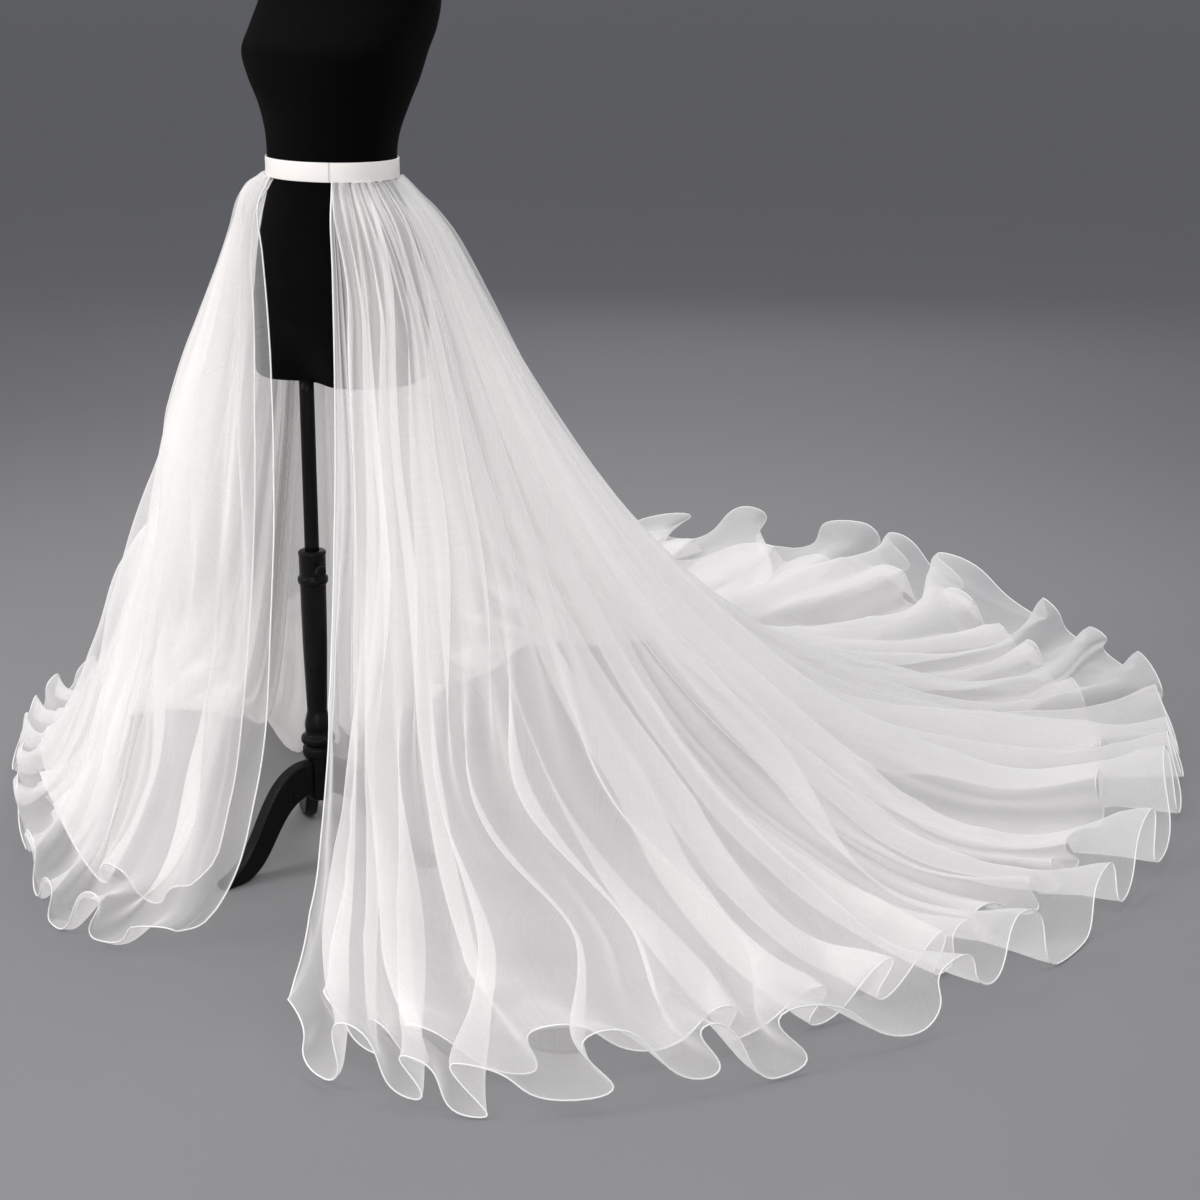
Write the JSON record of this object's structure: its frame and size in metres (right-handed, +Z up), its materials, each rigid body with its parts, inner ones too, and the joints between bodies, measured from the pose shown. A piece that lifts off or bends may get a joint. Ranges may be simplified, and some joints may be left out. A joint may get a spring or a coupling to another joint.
{
  "type": "maxi skirt on a dress form",
  "caption": "Floor-length gathered overskirt of two sheer layers with a long train and an open front, on a limbless dress form with a turned tripod stand.",
  "frame": {"origin": "middle of the base of the whole object's box, on the floor", "axes": "+Z up, the wearer's front faces -Y and the train runs to +Y, the wearer's left is +X"},
  "size_m": [2.0938, 2.522, 1.535],
  "materials": {
    "organza": "sheer off-white organza, soft sheen",
    "satin": "off-white satin, soft gloss",
    "jersey": "matt black knitted cover",
    "lacquered_wood": "black lacquer, semi-gloss"
  },
  "bodies": {
    "root": {"waistband": "satin", "outer_front_right": "organza", "outer_side_right": "organza", "outer_back_right": "organza", "outer_back_left": "organza", "outer_side_left": "organza", "outer_front_left": "organza", "inner_front_right": "organza", "inner_side_right": "organza", "inner_back_right": "organza", "inner_back_left": "organza", "inner_side_left": "organza", "inner_front_left": "organza", "dress_form": "jersey", "pole": "lacquered_wood", "column": "lacquered_wood", "hub": "lacquered_wood", "leg_1": "lacquered_wood", "leg_2": "lacquered_wood", "leg_3": "lacquered_wood", "thumb_screw": "lacquered_wood"}
  },
  "joints": []
}
